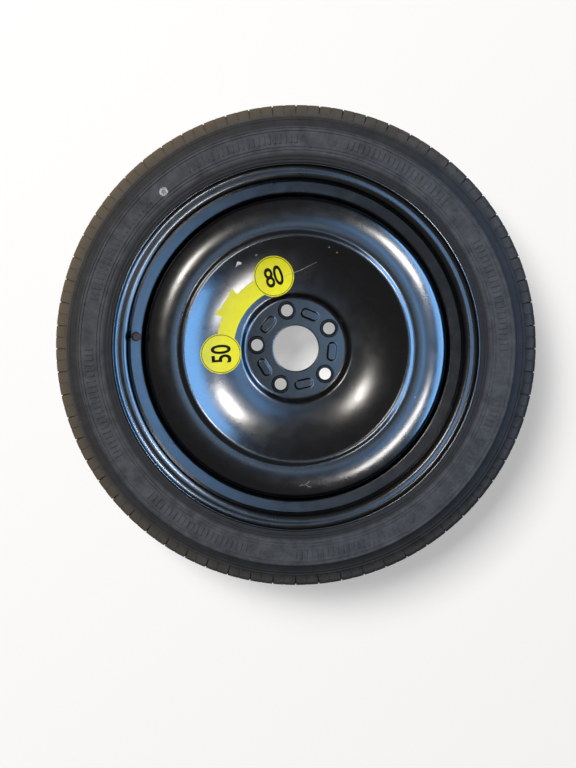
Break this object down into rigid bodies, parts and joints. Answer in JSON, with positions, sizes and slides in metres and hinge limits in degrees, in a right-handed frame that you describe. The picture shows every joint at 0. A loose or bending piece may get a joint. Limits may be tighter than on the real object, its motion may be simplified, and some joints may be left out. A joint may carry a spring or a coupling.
{
  "type": "spare wheel",
  "caption": "Narrow temporary spare wheel: a slim tyre on a deep-dished pressed steel wheel, with bolt holes, a centre bore, a valve and a speed label.",
  "frame": {"origin": "centre of the wheel, on its axis and midway between the tyre's sidewalls", "axes": "+Z along the wheel's axis, out of the face that shows when it is fitted; the wheel lies flat on its inner sidewall, and the valve lies near -X"},
  "size_m": [0.657, 0.657, 0.125],
  "materials": {
    "tyre_rubber": "matte, dusty on the shoulder",
    "black_paint": "gloss black coat",
    "label_film": "satin yellow film",
    "valve_rubber": "matte",
    "valve_brass": "turned",
    "pin_steel": "drawn",
    "cap_plastic": "moulded"
  },
  "bodies": {
    "wheel": {"tyre": "tyre_rubber", "rim": "black_paint", "disc": "black_paint", "weld_seam": "black_paint", "speed_label": "label_film", "valve_body": "valve_rubber", "valve_tube": "valve_brass", "core_plug": "valve_brass", "core_barrel": "valve_brass", "barrel_seal": "valve_rubber"},
    "core": {"core_pin": "pin_steel", "core_cup": "valve_brass", "cup_seal": "valve_rubber"},
    "cap_seat": {"cap_washer": "valve_rubber"},
    "cap": {"valve_cap": "cap_plastic"}
  },
  "joints": [
    {"name": "core_press", "type": "slide", "parent": "wheel", "child": "core", "axis": [-0.2073, 0.0156, -0.9781], "range_m": [0, 0.0014], "stiffness_N_per_m": 200, "springref_m": -0.003},
    {"name": "cap_lift", "type": "slide", "parent": "wheel", "child": "cap_seat", "axis": [0.2073, -0.0156, 0.9781], "range_m": [0, 0.00635]},
    {"name": "cap_turn", "type": "hinge", "parent": "cap_seat", "child": "cap", "pos_m": [-0.21978, 0.01653, 0.03008], "axis": [0.2073, -0.0156, 0.9781], "range_deg": [0, 2880]}
  ],
  "couplings": [
    {"joint": "cap_turn", "follows": "cap_lift", "rad_per_m": 7913.5}
  ]
}
